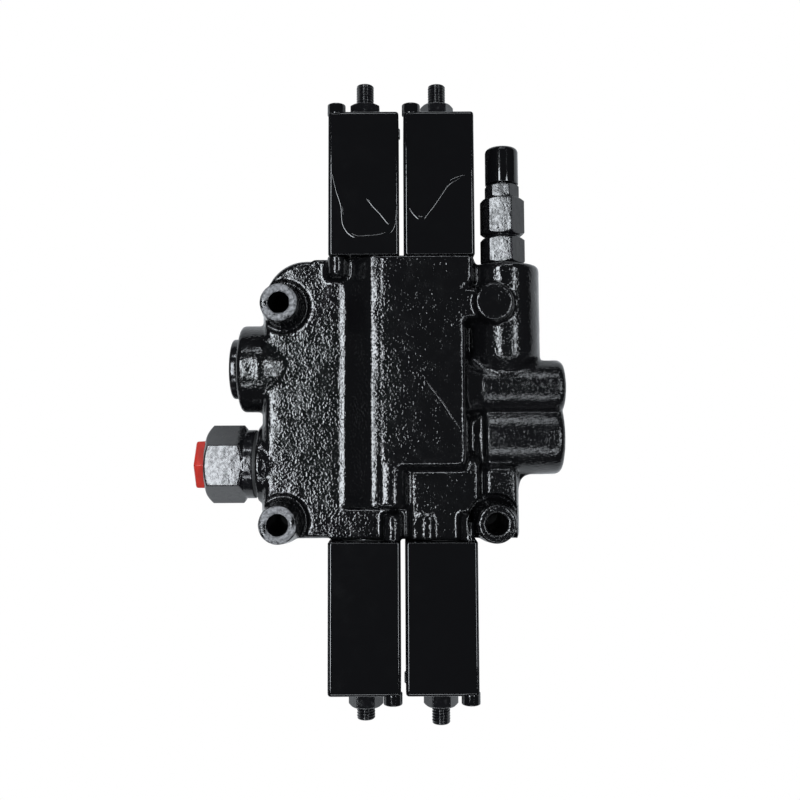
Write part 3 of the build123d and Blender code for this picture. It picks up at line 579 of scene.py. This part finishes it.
def tube_faces(rings, sides):
    """Faces between rings of points that follow each other, with both ends closed."""
    faces = []
    for index in range(rings - 1):
        base, above = index * sides, (index + 1) * sides
        for corner in range(sides):
            after = (corner + 1) % sides
            faces.append((base + corner, base + after, above + after, above + corner))
    faces.append(tuple(range(sides)))
    last = (rings - 1) * sides
    faces.append(tuple(range(last, last + sides)))
    return faces


def threaded_rod(name):
    """Threaded rod in place of a plain one, with its rounded tip and hexagon socket."""
    low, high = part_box(name)
    side = 1 if name.endswith("a") else -1
    low_y, high_y = low[1] / MM, high[1] / MM
    tip, inner = (high_y, low_y) if side > 0 else (low_y, high_y)
    centre_x = (low[0] + high[0]) / 2 / MM
    centre_z = (low[2] + high[2]) / 2 / MM
    radius = (high[0] - low[0]) / 2 / MM
    length = abs(tip - inner)
    angles = [2 * math.pi * corner / SIDES for corner in range(SIDES)]
    rings = []
    count = int(length / STEP_MM)
    for index in range(count + 1):
        along = index * length / count
        rings.append([(along, thread_radius(along, length, radius, angle)) for angle in angles])
    for depth in (0.0, SOCKET_MM):
        ring = []
        for angle in angles:
            turn = (angle + math.pi / 6) % (math.pi / 3) - math.pi / 6
            ring.append((length - depth, SOCKET_MM / 2 / math.cos(turn)))
        rings.append(ring)
    points = []
    for ring in rings:
        for (along, out), angle in zip(ring, angles):
            x = centre_x + out * math.cos(angle)
            z = centre_z + out * math.sin(angle)
            points.append(Vector((x, inner + side * along, z)) * MM)
    piece = make_piece(name + "_threaded", points, tube_faces(len(rings), SIDES))
    recalculate(piece)
    finish_piece(piece, body_of[name], pitted.material)
    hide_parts(name)


for name in cap_names:
    threaded_rod("stroke_adjuster_" + name)

# Runs of paint: lines over the photograph, and the outline of a run across, as shares of half
# its width and of its height
RUN_PROFILE = [
    (-1.0, -0.5), (-0.8, 0.1), (-0.45, 0.75), (0.0, 1.0), (0.45, 0.75), (0.8, 0.1), (1.0, -0.5),
]
RUN_STEPS = 8
RUN_SWELL = 0.35
RUN_SWELL_SIZE_MM = 5
RUN_END = 0.15
RUN_TAPER = 4
CAP_RUNS = {
    "cap_run_1": [
        (331, 168), (336, 190), (341, 205), (343, 224), (350, 234), (361, 237), (385, 234),
        (395, 223), (397, 203),
    ],
    "cap_run_2": [(366, 198), (375, 208), (384, 218), (390, 225)],
    "cap_run_3": [
        (407, 203), (413, 213), (422, 218), (431, 208), (441, 194), (449, 183), (460, 177),
        (472, 174),
    ],
}
CAP_RUN_WIDTH_MM = 2.6
CAP_RUN_RISE_MM = 0.30
CAP_RUN_FOOT_MM = CAP_FRONT_MM - 0.1
SCAR = [(425, 379), (433, 390), (443, 403), (452, 417), (461, 430)]
SCAR_WIDTH_MM = 2.2
SCAR_RISE_MM = 0.55
SCAR_FOOT_MM = PLATEAU_MM - 0.3


def smooth_line(points):
    """Smooth curve through points, as a list of points."""
    line = []
    for index in range(len(points) - 1):
        before = points[max(index - 1, 0)]
        start, end = points[index], points[index + 1]
        after = points[min(index + 2, len(points) - 1)]
        for step in range(RUN_STEPS):
            t = step / RUN_STEPS
            rising = (end - before) * t
            bending = (2 * before - 5 * start + 4 * end - after) * t * t
            turning = (3 * start - before - 3 * end + after) * t ** 3
            line.append(0.5 * (2 * start + rising + bending + turning))
    line.append(points[-1])
    return line


def paint_run(name, pixels, foot_mm, width_mm, rise_mm, material):
    """Low ridge of paint along a line of the photograph, lying on a flat face of the valve."""
    line = smooth_line([seen_at(column, row, foot_mm) for column, row in pixels])
    points = []
    for index, place in enumerate(line):
        ahead = line[min(index + 1, len(line) - 1)] - line[max(index - 1, 0)]
        across = Vector((-ahead.y, ahead.x, 0)).normalized()
        share = index / (len(line) - 1)
        swell = min(1.0, RUN_TAPER * share + RUN_END, RUN_TAPER * (1 - share) + RUN_END)
        swell *= 1 + RUN_SWELL * noise.noise(place / (RUN_SWELL_SIZE_MM * MM))
        for offset, lift in RUN_PROFILE:
            rise = Vector((0, 0, lift * rise_mm * swell * MM))
            points.append(place + across * (offset * width_mm / 2 * swell * MM) + rise)
    piece = make_piece(name, points, tube_faces(len(line), len(RUN_PROFILE)))
    recalculate(piece)
    finish_piece(piece, "valve", material)


for name, pixels in CAP_RUNS.items():
    paint_run(
        name, pixels, CAP_RUN_FOOT_MM, CAP_RUN_WIDTH_MM, CAP_RUN_RISE_MM,
        gloss.material,
    )
paint_run(
    "plateau_scar", SCAR, SCAR_FOOT_MM, SCAR_WIDTH_MM, SCAR_RISE_MM,
    cast.material,
)

bpy.context.scene.view_settings.view_transform = "Standard"
